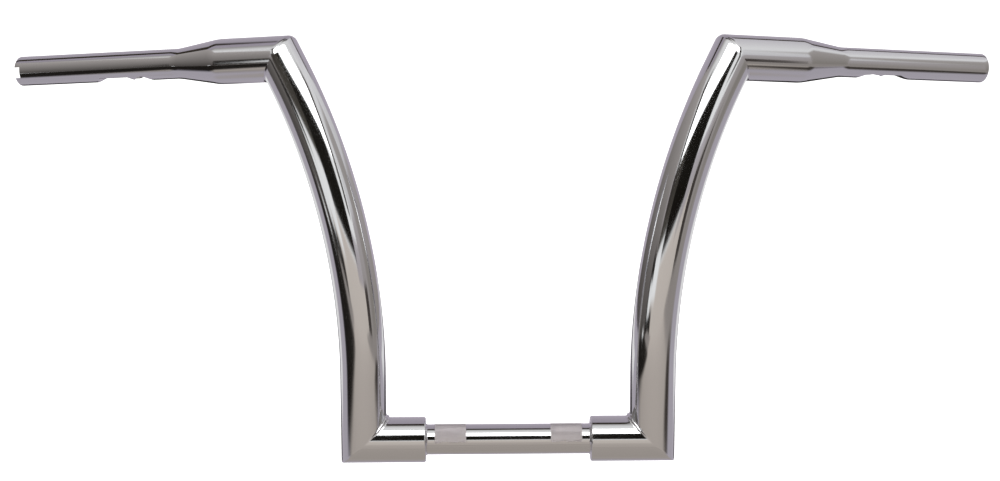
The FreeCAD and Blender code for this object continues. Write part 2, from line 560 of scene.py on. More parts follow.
@dataclass(frozen=True)
class ClampTube:
    """Straight tube with two rolled knurls for the handlebar clamps, rubbed smooth underneath."""

    sizes: BarSizes
    seat_spacing: float = 97.0 * MM
    knurl_rows: int = 21
    knurl_rise: float = 0.2 * MM
    rubbed_from: float = math.radians(86.0)
    rubbed_swing: float = math.radians(11.0)
    rubbed_grain: float = 7.0 * MM
    rubbed_fade: float = math.radians(5.0)
    crease: float = math.radians(12.0)

    @property
    def pitch(self) -> float:
        """Width of one knurl diamond, with one for every second vertex of a ring."""
        return 2 * math.pi * self.sizes.bar_radius / (RING_SIDES // 2)

    @property
    def seat_width(self) -> float:
        """Width of a knurled seat, a whole number of diamonds."""
        return self.pitch * self.knurl_rows

    @property
    def seam(self) -> float:
        """Distance within which a vertex counts as one on the edge of a seat."""
        return 0.1 * self.pitch

    def left_by_buffing(self, angle: float, x: float) -> float:
        """Share of the knurl that the buffing wheel has left.

        Args:
            angle: Angle from the top of the tube, down either side.
            x: Place along the tube.

        Returns:
            1 for a whole diamond and 0 where it is rubbed away, with a ragged edge between.
        """
        swing = noise.noise(Vector((x / self.rubbed_grain, 0.0, 0.0)))
        edge = self.rubbed_from + self.rubbed_swing * swing
        return min(1.0, max(0.0, (edge - abs(angle)) / self.rubbed_fade))

    def knurl(self, centre: float) -> bmesh.types.BMesh:
        """Band of raised diamonds round the tube.

        Args:
            centre: X of the middle of the band.

        Returns:
            The band, open at both edges.
        """
        radius = self.sizes.bar_radius
        half_round, half_width = math.pi * radius, self.seat_width / 2
        trim, merge = 0.01 * self.pitch, 0.05 * self.pitch
        cells = 2 * math.ceil((half_round + half_width) / self.pitch) + 2
        band = bmesh.new()
        bmesh.ops.create_grid(band, x_segments=cells, y_segments=cells, size=1.0)
        size = self.pitch / math.sqrt(2) / band.edges[:1][0].calc_length()
        on_point = Matrix.Rotation(math.pi / 4, 4, "Z") @ Matrix.Scale(size, 4)
        bmesh.ops.transform(band, matrix=on_point, verts=band.verts[:])
        bmesh.ops.poke(band, faces=band.faces[:], offset=self.knurl_rise)
        for across, reach in ((Vector((1, 0, 0)), half_round), (Vector((0, 1, 0)), half_width)):
            for way in (across, -across):
                bmesh.ops.bisect_plane(
                    band, geom=band.verts[:] + band.edges[:] + band.faces[:], dist=trim,
                    plane_co=way * reach, plane_no=way, clear_outer=True,
                )
        for vert in band.verts:
            angle = vert.co.x / radius
            at_edge = abs(abs(vert.co.y) - half_width) < self.seam
            left = 0.0 if at_edge else self.left_by_buffing(angle, centre + vert.co.y)
            reach = radius + vert.co.z * left
            vert.co = (centre + vert.co.y, -reach * math.sin(angle), reach * math.cos(angle))
        bmesh.ops.remove_doubles(band, verts=band.verts[:], dist=merge)
        for face in band.faces:
            middle = face.calc_center_median()
            left = self.left_by_buffing(math.atan2(-middle.y, middle.z), middle.x)
            face.material_index = (Finish.KNURL if left > 0.5 else Finish.PLATE).value
        return band

    def build(self, materials: Materials) -> None:
        """Make the tube and its knurls.

        Args:
            materials: Materials to dress it in.
        """
        half = self.sizes.stub_gap / 2 + self.sizes.reducer_length
        inner, outer = (self.seat_spacing - self.seat_width) / 2, (self.seat_spacing + self.seat_width) / 2
        along = Vector((1.0, 0.0, 0.0))
        stops = [(-half, Finish.PLATE), (-outer, Finish.PLATE), (-inner, Finish.KNURL)]
        stops += [(inner, Finish.PLATE), (outer, Finish.KNURL), (half, Finish.PLATE)]
        rings = [Station(along * x, along, self.sizes.bar_radius, finish) for x, finish in stops]
        mesh = sweep(rings + lining(rings, self.sizes.wall), UP)
        bare = [face for face in mesh.faces if face.material_index == Finish.KNURL.value]
        bmesh.ops.delete(mesh, geom=bare, context="FACES")
        for centre in (-self.seat_spacing / 2, self.seat_spacing / 2):
            band = self.knurl(centre)
            kept = bpy.data.meshes.new("band")
            band.to_mesh(kept)
            band.free()
            mesh.from_mesh(kept)
            bpy.data.meshes.remove(kept)
        bmesh.ops.remove_doubles(mesh, verts=mesh.verts[:], dist=self.seam)
        bmesh.ops.recalc_face_normals(mesh, faces=mesh.faces[:])
        hand_over("clamp_tube", mesh, materials.for_tubes(), crease=self.crease)


@dataclass(frozen=True)
class Stub:
    """Short fat tube with a wire exit, the ring that carries the clamp tube and the bead round that tube."""

    half: HalfBar
    edge_round: float = 1.5 * MM
    edge_steps: int = 8
    mitre_run: float = 40.0 * MM
    mitre_ease: float = 0.9 * MM
    exit_radius: float = 8.0 * MM
    exit_inset: float = 19.0 * MM
    exit_angle: float = math.radians(45.0)
    bead_leg: float = 1.8 * MM
    bead_steps: int = 8
    bead_grain: float = 3.2 * MM
    bead_lump: float = 0.2 * MM

    def at(self, inset: float, radius: float) -> Station:
        """Ring on the stub's axis at a distance into the stub from its face."""
        return Station(self.half.face + self.half.outward * inset, self.half.outward, radius)

    def tube(self, materials: Materials) -> None:
        """Make the stub itself, with its rounded edge, mitre and wire exit.

        Args:
            materials: Materials to dress it in.
        """
        sizes, corner, edge = self.half.sizes, self.half.low_corner, self.edge_round
        rounded = [
            self.at(edge * (1 - math.sin(turn)), sizes.fat_radius - edge * (1 - math.cos(turn)))
            for turn in reversed(quarter_turns(self.edge_steps))
        ]
        skin = rounded + run_up(corner, self.mitre_run, sizes.fat_radius)
        bore = lining(skin[self.edge_steps:], sizes.wall)
        face = self.at(0.0, sizes.fat_bore)
        mesh = sweep([face] + skin + bore, UP)
        mitre(mesh, corner, self.mitre_run, sizes.fat_radius, self.mitre_ease)
        way_out = Vector((0.0, math.cos(self.exit_angle), -math.sin(self.exit_angle)))
        base = self.at(sizes.reducer_length + self.exit_inset, 0.0).centre
        drill = round_cutter(base, way_out, self.exit_radius, 2 * sizes.fat_radius)
        hand_over(f"{self.half.side.label}_stub", mesh, materials.for_tubes(), [drill])

    def reducer(self, materials: Materials) -> None:
        """Make the turned ring between stub and clamp tube.

        Args:
            materials: Materials to dress it in.
        """
        sizes = self.half.sizes
        inner, outer, deep = sizes.bar_radius, sizes.fat_bore, sizes.reducer_length
        rings = [self.at(0.0, inner), self.at(0.0, outer), self.at(deep, outer), self.at(deep, inner)]
        mesh = sweep(rings, UP)
        hand_over(f"{self.half.side.label}_reducer", mesh, materials.for_tubes())

    def on_bead(self, place: Vector) -> float:
        """Share of the bead's unevenness that a place on it takes.

        Args:
            place: Point of the bead's skin.

        Returns:
            1 on the bead's hollow, falling to 0 at its foot and at the stub's face.
        """
        fade = self.bead_leg / 4
        inset = (self.half.face - place).dot(self.half.outward)
        lift = Vector((0.0, place.y, place.z)).length - self.half.sizes.bar_radius
        return min(1.0, max(inset, 0.0) / fade) * min(1.0, max(lift, 0.0) / fade)

    def bead(self, materials: Materials) -> None:
        """Make the hollow-faced bead round the clamp tube.

        Args:
            materials: Materials to dress it in.
        """
        leg, bar = self.bead_leg, self.half.sizes.bar_radius
        hollow = [
            self.at(leg * (math.sin(turn) - 1), bar + leg * (1 - math.cos(turn)))
            for turn in quarter_turns(self.bead_steps)
        ]
        mesh = sweep(hollow + [self.at(0.0, bar)], UP)
        lump(mesh.verts, self.bead_grain, self.bead_lump, self.on_bead)
        hand_over(f"{self.half.side.label}_clamp_weld", mesh, [materials.weld])

    def build(self, materials: Materials) -> None:
        """Make the three pieces.

        Args:
            materials: Materials to dress it in.
        """
        self.tube(materials)
        self.reducer(materials)
        self.bead(materials)


@dataclass(frozen=True)
class CornerBead:
    """Dressed bead in the hollow of a mitred corner, widest in the middle and running out at its two tips."""

    half: HalfBar
    corner: Corner
    node: str
    radius: float = 4.0 * MM
    steps: int = 10
    lift: float = 0.03 * MM
    thickness: float = 1.2 * MM
    tip: float = 0.03
    grain: float = 5.0 * MM
    lump_height: float = 0.16 * MM
    merge: float = 0.02 * MM

    def shape(self, mesh: bmesh.types.BMesh) -> None:
        """Hollow the strip of tube beside the mitre into one half of the bead.

        Args:
            mesh: Straight rings, up to the bead's full width from the corner.
        """
        corner, slope = self.corner, math.tan(self.corner.half_turn)
        widest = self.radius * slope
        for vert in mesh.verts:
            offset = vert.co - corner.point
            height = offset.dot(corner.before)
            radial = offset - corner.before * height
            bend = -radial.dot(corner.convex) / radial.length
            width = max(widest * bend, self.tip * widest)
            away = -height / widest * width
            radial *= 1 + (width - away) ** 2 / (2 * width) * slope * max(bend, 0.0) / radial.length
            vert.co = corner.point + radial + corner.before * (radial.dot(corner.convex) * slope - away)

    def half_face(self) -> bmesh.types.BMesh:
        """One half of the bead's face, up to the mitre plane.

        Returns:
            The open strip.
        """
        corner = self.corner
        widest = self.radius * math.tan(corner.half_turn)
        radius = self.half.sizes.fat_radius + self.lift
        shares = [1 - step / self.steps for step in range(self.steps + 1)]
        centres = [corner.point - corner.before * (widest * share) for share in shares]
        rings = [Station(centre, corner.before, radius) for centre in centres]
        mesh = sweep(rings, corner.convex, closed=False)
        tips = -self.tip * radius
        outside = [vert for vert in mesh.verts if (vert.co - corner.point).dot(corner.convex) > tips]
        bmesh.ops.delete(mesh, geom=outside, context="VERTS")
        self.shape(mesh)
        return mesh

    def build(self, materials: Materials) -> None:
        """Make the bead as a closed crescent.

        Args:
            materials: Materials to dress it in.
        """
        corner = self.corner
        mesh = self.half_face()
        copied = bmesh.ops.duplicate(mesh, geom=mesh.verts[:] + mesh.edges[:] + mesh.faces[:])["geom"]
        verts = [part for part in copied if isinstance(part, bmesh.types.BMVert)]
        there, back = Matrix.Translation(corner.point), Matrix.Translation(-corner.point)
        across = there @ Matrix.Scale(-1, 4, corner.normal) @ back
        bmesh.ops.transform(mesh, matrix=across, verts=verts)
        bmesh.ops.remove_doubles(mesh, verts=mesh.verts[:], dist=self.merge)
        bmesh.ops.recalc_face_normals(mesh, faces=mesh.faces[:])
        middle = sum((face.normal for face in mesh.faces), Vector())
        if middle.dot(corner.convex) > 0:
            bmesh.ops.reverse_faces(mesh, faces=mesh.faces[:])
        mesh.normal_update()
        edge = {vert for part in mesh.edges if part.is_boundary for vert in part.verts}
        inside = [vert for vert in mesh.verts if vert not in edge]
        lump(inside, self.grain, self.lump_height, lambda place: 1.0)
        bmesh.ops.solidify(mesh, geom=mesh.faces[:], thickness=self.thickness)
        hand_over(self.node, mesh, [materials.weld])


@dataclass(frozen=True)
class Riser:
    """Fat tube that stands on the stub, bends outwards and back, and carries the grip tube."""

    half: HalfBar
    bend_steps: int = 72
    foot_run: float = 45.0 * MM
    foot_ease: float = 0.9 * MM
    top_ease: float = 3.2 * MM

    def build(self, materials: Materials) -> None:
        """Make the tube with its two mitres, and the beads in its two corners.

        Args:
            materials: Materials to dress it in.
        """
        sizes, half = self.half.sizes, self.half
        low, high = half.low_corner.backwards(), half.high_corner
        foot = [replace(ring, along=UP) for ring in reversed(run_up(low, self.foot_run, sizes.fat_radius))]
        places = [half.on_bend(step / self.bend_steps) for step in range(self.bend_steps)]
        bend = [Station(point, along, sizes.fat_radius) for point, along in places]
        top = run_up(high, sizes.riser_top, sizes.fat_radius)
        skin = foot + bend + top
        mesh = sweep(skin + lining(skin, sizes.wall), half.lean.cross(UP))
        mitre(mesh, low, self.foot_run, sizes.fat_radius, self.foot_ease)
        mitre(mesh, high, sizes.riser_top, sizes.fat_radius, self.top_ease)
        label = half.side.label
        hand_over(f"{label}_riser", mesh, materials.for_tubes())
        CornerBead(half, half.low_corner, f"{label}_lower_weld").build(materials)
        CornerBead(half, half.high_corner, f"{label}_upper_weld").build(materials)


@dataclass(frozen=True)
class Wiring:
    """Dimple and wire hole under one grip, with the distances taken from the bar's end."""

    dimple_start: float
    dimple_outer_ramp: float
    dimple_flat: float
    hole_from_end: float
    hole_drawn: float = 0.0
    hole_radius: float = 9.5 * MM
    dimple_inner_ramp: float = 6.0 * MM
    dimple_depth: float = 3.9 * MM
    dimple_soft: float = 1.6 * MM

    @property
    def flat_start(self) -> float:
        """Where the dimple's flat begins."""
        return self.dimple_start + self.dimple_outer_ramp

    @property
    def flat_end(self) -> float:
        """Where the dimple's flat ends."""
        return self.flat_start + self.dimple_flat

    @property
    def hole_end(self) -> float:
        """Where the hole ends."""
        return self.hole_from_end + self.hole_drawn / 2 + self.hole_radius

    def depth(self, from_end: float) -> float:
        """Depth to which the dimple is pressed.

        Args:
            from_end: Distance from the bar's end.

        Returns:
            The depth there, below zero where the dimple runs out past a ramp.
        """
        outer = max(0.0, self.flat_start - from_end) / self.dimple_outer_ramp
        inner = max(0.0, from_end - self.flat_end) / self.dimple_inner_ramp
        return self.dimple_depth * (1 - outer - inner)


@dataclass(frozen=True)
class GripTube:
    """Tube swaged down to bar size, with a pressed dimple and a wire hole below, and notches on one side."""

    half: HalfBar
    wiring: Wiring
    seat_length: float
    notched: bool
    swage_length: float = 39.0 * MM
    swage_round: float = 45.0 * MM
    mitre_run: float = 30.0 * MM
    mitre_ease: float = 3.2 * MM
    end_round: float = 0.8 * MM
    end_steps: int = 5
    coarse_step: float = 4.0 * MM
    fine_step: float = 1.0 * MM
    fine_past: float = 6.0 * MM
    fine_past_hole: float = 4.0 * MM
    notch_width: float = 9.4 * MM
    notch_depth: float = 5.4 * MM

    @property
    def above(self) -> Vector:
        """Direction square to the grip that points up as far as it can."""
        along = self.half.high_corner.after
        return (UP - along * along.z).normalized()

    @property
    def seat(self) -> float:
        """Distance from the corner at which the plain bar size begins."""
        return self.half.sizes.grip_reach - self.seat_length

    def radius(self, height: float) -> float:
        """Radius of the skin.

        Args:
            height: Distance from the corner along the axis.

        Returns:
            The radius there.
        """
        fat, bar, bend = self.half.sizes.fat_radius, self.half.sizes.bar_radius, self.swage_round
        angle = math.atan((fat - bar) / self.swage_length)
        reach = bend * math.tan(angle / 2)
        into = height - (self.seat - self.swage_length - reach)
        out_of = self.seat + reach - height
        arc = bend * math.sin(angle)
        if into <= 0:
            return fat
        if out_of <= 0:
            return bar
        if into < arc:
            return fat - bend + math.sqrt(bend**2 - into**2)
        if out_of < arc:
            return bar + bend - math.sqrt(bend**2 - out_of**2)
        return fat - (into - reach) * math.tan(angle)

    def heights(self) -> list[float]:
        """Heights of the rings past the mitre.

        Returns:
            Distances from the corner, closer together on the swage and beside the dimple and hole.
        """
        reach, past = self.half.sizes.grip_reach, self.fine_past
        hole, dimple = reach - self.wiring.hole_end, reach - self.wiring.dimple_start
        fine = [
            (self.seat - self.swage_length - past, self.seat + past),
            (hole - self.fine_past_hole, dimple + past),
        ]
        found = [self.mitre_run]
        while found[-1] < reach - self.end_round - self.coarse_step:
            near = any(low - self.coarse_step < found[-1] < high for low, high in fine)
            found.append(found[-1] + (self.fine_step if near else self.coarse_step))
        return found[1:]

    def press(self, mesh: bmesh.types.BMesh) -> None:
        """Press the dimple into the underside.

        Args:
            mesh: The whole tube, skin and bore.
        """
        sizes, corner, above = self.half.sizes, self.half.high_corner, self.above
        round_off = self.wiring.dimple_soft
        for vert in mesh.verts:
            offset = vert.co - corner.point
            level = sizes.bar_radius - self.wiring.depth(sizes.grip_reach - offset.dot(corner.after))
            radial = (offset - corner.after * offset.dot(corner.after)).length
            if radial < sizes.bar_radius - sizes.wall / 2:
                level -= sizes.wall
            below = -offset.dot(above)
            soft = max(round_off - abs(below - level), 0.0) ** 2 / (4 * round_off)
            vert.co += above * (below - min(below, level) + soft)

    def rim(self) -> list[Station]:
        """Rings of the rounded rim at the bar's end.

        Returns:
            The rings from the skin to the flat of the end, and the one at the mouth of the bore.
        """
        sizes, corner = self.half.sizes, self.half.high_corner
        rings = [
            Station(
                corner.point + corner.after * (sizes.grip_reach - self.end_round * (1 - math.sin(turn))),
                corner.after,
                sizes.bar_radius - self.end_round * (1 - math.cos(turn)),
            )
            for turn in quarter_turns(self.end_steps)
        ]
        return rings + [replace(rings[-1], radius=sizes.bar_radius - sizes.wall)]

    def build(self, materials: Materials) -> None:
        """Make the tube, press its dimple, and cut its hole and notches.

        Args:
            materials: Materials to dress it in.
        """
        sizes, corner = self.half.sizes, self.half.high_corner
        here, along = corner.backwards(), corner.after
        root = list(reversed(run_up(here, self.mitre_run, sizes.fat_radius)))
        skin = [replace(ring, along=along) for ring in root]
        places = [(corner.point + along * height, self.radius(height)) for height in self.heights()]
        skin += [Station(place, along, radius) for place, radius in places]
        mesh = sweep(skin + self.rim() + lining(skin, sizes.wall), self.above)
        mitre(mesh, here, self.mitre_run, sizes.fat_radius, self.mitre_ease)
        self.press(mesh)
        bmesh.ops.recalc_face_normals(mesh, faces=mesh.faces[:])
        hole = corner.point + along * (sizes.grip_reach - self.wiring.hole_from_end)
        drawn = along * self.wiring.hole_drawn
        cutters = [round_cutter(hole, -self.above, self.wiring.hole_radius, 2 * sizes.bar_radius, drawn)]
        if self.notched:
            cutters.append(self.notch_cutter())
        hand_over(f"{self.half.side.label}_grip_tube", mesh, materials.for_tubes(), cutters)

    def notch_cutter(self) -> bmesh.types.BMesh:
        """Bar that cuts both notches across the tube's end.

        Returns:
            The closed bar.
        """
        sizes, corner = self.half.sizes, self.half.high_corner
        bar = bmesh.new()
        across = corner.after.cross(self.above)
        turn = Matrix((self.above, across, corner.after)).transposed().to_4x4()
        size = Matrix.Diagonal((self.notch_width, 4 * sizes.bar_radius, 2 * self.notch_depth, 1.0))
        place = Matrix.Translation(corner.point + corner.after * sizes.grip_reach) @ turn @ size
        bmesh.ops.create_cube(bar, size=1.0, matrix=place)
        return bar


class Seen(Enum):
    """Light Path outputs that show the white background."""

    CAMERA = "Is Camera Ray"
    GLOSSY = "Is Glossy Ray"
    CLEAR = "Is Transmission Ray"


def seen_rays(tree: bpy.types.NodeTree) -> bpy.types.NodeSocket:
    """Mask of the rays that see the white background.

    Args:
        tree: Node tree of the floor or the world.

    Returns:
        Socket that is one for a camera, glossy or transmission ray, and nothing for others.
    """
    path = add_node(tree, "ShaderNodeLightPath")
    total = path.outputs[Seen.CAMERA.value]
    for ray in (Seen.GLOSSY, Seen.CLEAR):
        largest = add_node(
            tree, "ShaderNodeMath", {"operation": "MAXIMUM"}, in0=total, in1=path.outputs[ray.value]
        )
        total = largest.outputs[0]
    return total


@dataclass(frozen=True)
class Span:
    """One coordinate of a card's surface: its socket, its range and how soft the card's edges are."""

    value: bpy.types.NodeSocket
    low: float
    high: float
    soft: float


@dataclass(frozen=True)
class GlowCard:
    """Glowing card that only the metal sees, with soft edges and a tone between two colours: it is no lamp,
    and its glow is a painted reflection on the plate.
    """

    name: str
    colour_low: str
    colour_high: str

    def tone(self, tree: bpy.types.NodeTree, first: Span, second: Span) -> None:
        """Fill a material with the card's tone, as a glow that paints a reflection.

        Args:
            tree: Node tree of the material.
            first: Coordinate along which the tone stays the same.
            second: Coordinate along which it runs from one colour to the other.
        """
        cover: Any = 1.0
        for span in (first, second):
            middle, half = (span.low + span.high) / 2, (span.high - span.low) / 2
            moved = add_node(tree, "ShaderNodeMath", {"operation": "SUBTRACT"}, in0=span.value, in1=middle)
            away = add_node(tree, "ShaderNodeMath", {"operation": "ABSOLUTE"}, in0=moved.outputs[0])
            edge = add_node(
                tree, "ShaderNodeMapRange", {"interpolation_type": "SMOOTHSTEP"}, Value=away.outputs[0],
                From_Min=half - span.soft, From_Max=half, To_Min=1.0, To_Max=0.0,
            )
            both = add_node(
                tree, "ShaderNodeMath", {"operation": "MULTIPLY"}, in0=cover, in1=edge.outputs["Result"]
            )
            cover = both.outputs[0]
        share = add_node(
            tree, "ShaderNodeMapRange", Value=second.value, From_Min=second.low, From_Max=second.high
        )
        blend = add_node(
            tree, "ShaderNodeMix", {"data_type": "RGBA"}, Factor=share.outputs["Result"],
            in6=linear(self.colour_low), in7=linear(self.colour_high),
        )
        # The card glows, though it is no lamp: its emission is a painted reflection.
        glow = add_node(tree, "ShaderNodeEmission", Color=blend.outputs[2], Strength=1.0)
        clear = add_node(tree, "ShaderNodeBsdfTransparent")
        surface = add_node(
            tree, "ShaderNodeMixShader", in0=cover, in1=clear.outputs["BSDF"], in2=glow.outputs["Emission"]
        )
        add_node(tree, "ShaderNodeOutputMaterial", Surface=surface.outputs["Shader"])

    def show(self, mesh: bmesh.types.BMesh, tone: bpy.types.Material) -> None:
        """Set the card up where the metal sees it and the camera and the floor don't.

        Args:
            mesh: Shape of the card, which is freed.
            tone: Its material.
        """
        card = new_object(self.name, mesh, [tone])
        card.visible_camera = False
        card.visible_diffuse = False
        card.visible_shadow = False


@dataclass(frozen=True)
class FlatCard(GlowCard):
    """Flat glowing card that paints a reflection on the plate, level or upright; its tone runs back along Y
    if level, and up if upright.
    """

    low: tuple[float, float, float]
    high: tuple[float, float, float]
    soft: float = 0.25

    def place(self) -> None:
        """Make the card and set it up."""
        low, high = Vector(self.low), Vector(self.high)
        half = (high - low) / 2
        axes = [axis for axis in range(3) if half[axis]]
        made = bpy.data.materials.new(self.name)
        tree = new_tree(made)
        place = add_node(tree, "ShaderNodeTexCoord").outputs["Object"]
        parts = add_node(tree, "ShaderNodeSeparateXYZ", Vector=place)
        first, second = [Span(parts.outputs[axis], low[axis], high[axis], self.soft) for axis in axes]
        self.tone(tree, first, second)
        sides = [Vector([half[axis] if axis == kept else 0.0 for axis in range(3)]) for kept in axes]
        turn = Matrix((*sides, sides[0].cross(sides[1]).normalized())).transposed().to_4x4()
        mesh = bmesh.new()
        bmesh.ops.create_grid(mesh, size=1.0, matrix=Matrix.Translation((low + high) / 2) @ turn)
        self.show(mesh, made)


@dataclass(frozen=True)
class BentCard(GlowCard):
    """Glowing card bent round the X axis that paints a reflection on the plate, whose tone runs along the
    bend.

    Angles are in degrees, up from level in front of the bar and over to the back.
    """

    start: float
    end: float
    left: float = -3.2
    right: float = 3.2
    soft: float = 3.0
    soft_ends: float = 0.4
    radius: float = 2.6
    steps: int = 48

    def place(self) -> None:
        """Make the card and set it up."""
        made = bpy.data.materials.new(self.name)
        tree = new_tree(made)
        place = add_node(tree, "ShaderNodeTexCoord").outputs["Object"]
        middle, half = math.radians((self.start + self.end) / 2), math.radians((self.end - self.start) / 2)
        turned = add_node(
            tree, "ShaderNodeVectorRotate", {"rotation_type": "X_AXIS"}, Vector=place, Angle=middle
        )
        parts = add_node(tree, "ShaderNodeSeparateXYZ", Vector=turned.outputs["Vector"])
        ahead = add_node(tree, "ShaderNodeMath", {"operation": "MULTIPLY"}, in0=parts.outputs["Y"], in1=-1.0)
        angle = add_node(
            tree, "ShaderNodeMath", {"operation": "ARCTAN2"}, in0=parts.outputs["Z"], in1=ahead.outputs[0]
        )
        across = Span(parts.outputs["X"], self.left, self.right, self.soft_ends)
        self.tone(tree, across, Span(angle.outputs[0], -half, half, math.radians(self.soft)))
        mesh = bmesh.new()
        start = math.radians(self.start)
        y, z = -self.radius * math.cos(start), self.radius * math.sin(start)
        ends = [mesh.verts.new((x, y, z)) for x in (self.left, self.right)]
        edge = mesh.edges.new(ends)
        bmesh.ops.spin(
            mesh, geom=ends + [edge], cent=(0, 0, 0), axis=(1, 0, 0), angle=-2 * half, steps=self.steps
        )
        self.show(mesh, made)


@dataclass(frozen=True)
class PaintedReflectionRoom:
    """Painted reflections: glowing cards that only the plate mirrors, laid out as a bench, a bent sheet from
    front to back, and two side walls.

    Left and right are the camera's. A card that lies nearer the bar hides those behind it.
    """

    bench_level: float
    wall: float = 2.6
    past: float = 3.2
    foot: float = -0.6

    def level(
        self, name: str, front: str, back: str, x: Range, y: Range, lift_mm: float, soft: float = 0.25
    ) -> FlatCard:
        """Card that lies on the bench.

        Args:
            name: Name of the card.
            front: Colour at its front edge.
            back: Colour at its back edge.
            x: Where it begins and ends from left to right.
            y: Where it begins and ends from front to back.
            lift_mm: How far above the bench it lies.
            soft: Width of its soft edges.

        Returns:
            The card.
        """
        z = self.bench_level + lift_mm * MM
        return FlatCard(name, front, back, (x[0], y[0], z), (x[1], y[1], z), soft)

    def upright(
        self, name: str, foot: str, head: str, x: float, y: Range, z: Range, soft: float = 0.25
    ) -> FlatCard:
        """Card that stands at one side.

        Args:
            name: Name of the card.
            foot: Colour at its foot.
            head: Colour at its top edge.
            x: Where it stands.
            y: Where it begins and ends from front to back.
            z: Where it begins and ends from foot to top.
            soft: Width of its soft edges.

        Returns:
            The card.
        """
        return FlatCard(name, foot, head, (x, y[0], z[0]), (x, y[1], z[1]), soft)

    def bench(self) -> list[FlatCard]:
        """Glowing cards that paint the reflections of a warm bench in front of the bar, a cool one with
        stripes behind it, and dark patches to the sides.

        Returns:
            The cards.
        """
        across, behind = (-self.past, self.past), (0.6, self.past)
        return [
            self.level("brown_bench", "#9C9591", "#9C9591", across, across, 0.0),
            self.level("cool_bench", "#B5AFB8", "#C6BECA", across, (-0.35, self.past), 5.0),
            self.level("back_dim_left", "#2A2725", "#3A3634", (-0.75, -0.3), behind, 8.0, 0.12),
            self.level("back_dim_right", "#2A2725", "#3A3634", (0.3, 0.75), behind, 8.0, 0.12),
            self.level("back_pale_left", "#F6F5F6", "#FFFFFF", (-1.5, -0.8), behind, 8.0, 0.12),
            self.level("back_pale_right", "#F6F5F6", "#FFFFFF", (0.8, 1.5), behind, 8.0, 0.12),
            self.level("warm_bench", "#D9CFC7", "#B4ABA4", (-1.3, 1.5), (-self.past, -0.2), 10.0),
            self.level("warm_patch", "#B4ABA4", "#AAA29B", (-0.65, 0.65), (-0.6, 0.25), 15.0),
            self.level("dark_left", "#25221F", "#201D1B", (-self.wall, -0.85), (-1.7, 0.05), 20.0),
            self.level("dark_right", "#453F3B", "#3A3532", (0.75, 1.6), (-0.7, -0.05), 20.0),
        ]

    def sheet(self) -> list[FlatCard | BentCard]:
        """Glowing cards that paint the reflection of a bent sheet that rises in front, passes over the bar
        and comes down behind it, with a dim panel; its white bands are painted highlights.

        Returns:
            The cards.
        """
        past = self.past
        return [
            BentCard("warm_wall", "#CFC6BE", "#D9CFC7", -12.0, 10.5, radius=2.62),
            BentCard("white_front", "#FFFFFF", "#FFFFFF", 0.0, 17.0, -past, -0.9, radius=2.61),
            BentCard("olive_front", "#4E4A44", "#3A3632", 15.0, 42.0, -past, 0.0),
            BentCard("grey_front", "#B3ACAE", "#C3BDC2", 4.0, 19.0, 0.9, past, radius=2.605),
            BentCard("white_right", "#FFFFFF", "#FFFFFF", 17.0, 45.0, 0.9, past),
            BentCard("dim_low_left", "#211E1B", "#1B1917", -9.0, 1.0, -past, -1.5),
            FlatCard("dim_panel", "#171512", "#1E1B17", (-0.8, -1.85, 0.34), (1.0, -1.85, 1.62), 0.1),
            # high_white and fall_off paint the lamp's highlight in the plate, and its fall-off to grey.
            BentCard("high_white", "#FFFFFF", "#F4F3F3", 36.0, 82.0, radius=2.66),
            BentCard("fall_off", "#F4F3F3", "#8A8482", 78.0, 97.0, radius=2.65),
            BentCard("olive_edge", "#2E2820", "#3A342B", 90.5, 104.0, -1.4, 1.4, soft=2.0),
            BentCard("olive_left", "#2E2820", "#3A342B", 108.0, 124.0, -past, -1.0, radius=2.58),
            BentCard("right_glow", "#F6F5F5", "#D5D1D7", 70.0, 126.0, 0.9, past),
            BentCard("olive_right", "#3A342B", "#4A443B", 124.0, 133.0, 0.7, past, soft=2.0, radius=2.58),
            BentCard("cool_wall", "#A8A0AB", "#C6BECA", 94.0, 192.0, radius=2.63),
        ]

    def walls(self) -> list[FlatCard | BentCard]:
        """Glowing cards that paint the reflections of walls at the two sides with what stands before them,
        and of the dark strips that frame the lamp.

        Returns:
            The cards.
        """
        left, right, past, foot = -self.wall, self.wall, self.past, self.foot
        full, ahead = (-past, past), (-past, -1.5)
        return [
            self.upright("right_wall", "#968F89", "#B9B3B5", right, full, (foot, 1.2)),
            self.upright("right_wall_top", "#C9C6CA", "#FFFFFF", right + 0.02, full, (0.5, past)),
            BentCard("left_frame", "#3A3532", "#57514E", 24.0, 76.0, -2.1, -1.5, soft_ends=0.15, radius=2.3),
            BentCard("right_frame", "#3A3532", "#57514E", 24.0, 76.0, 1.5, 2.1, soft_ends=0.15, radius=2.3),
            self.upright("right_front", "#3A3532", "#4A4441", right - 0.05, ahead, (foot, 0.35), 0.12),
            self.upright("right_back", "#8A847E", "#B5AFAD", right - 0.03, (-1.2, 0.6), (-0.4, 2.2), 0.4),
            self.upright("left_wall", "#3B3734", "#C2BBB8", left, full, (foot, past)),
            self.upright("left_front", "#1B1917", "#262320", left + 0.05, ahead, (foot, 0.8)),
            self.upright("grey_left", "#A39C9C", "#B9B2B6", left + 0.07, (-past, -1.7), (0.95, 2.4), 0.15),
            self.upright("left_sheet", "#FFFFFF", "#FFFFFF", left + 0.1, (-past, -1.75), (-0.16, 0.4), 0.12),
            self.upright("left_window", "#FFFFFF", "#FFFFFF", left + 0.15, (-1.25, -0.8), (foot, -0.15), 0.1),
        ]

    def build(self) -> None:
        """Set up every card."""
        for card in self.bench() + self.sheet() + self.walls():
            card.place()


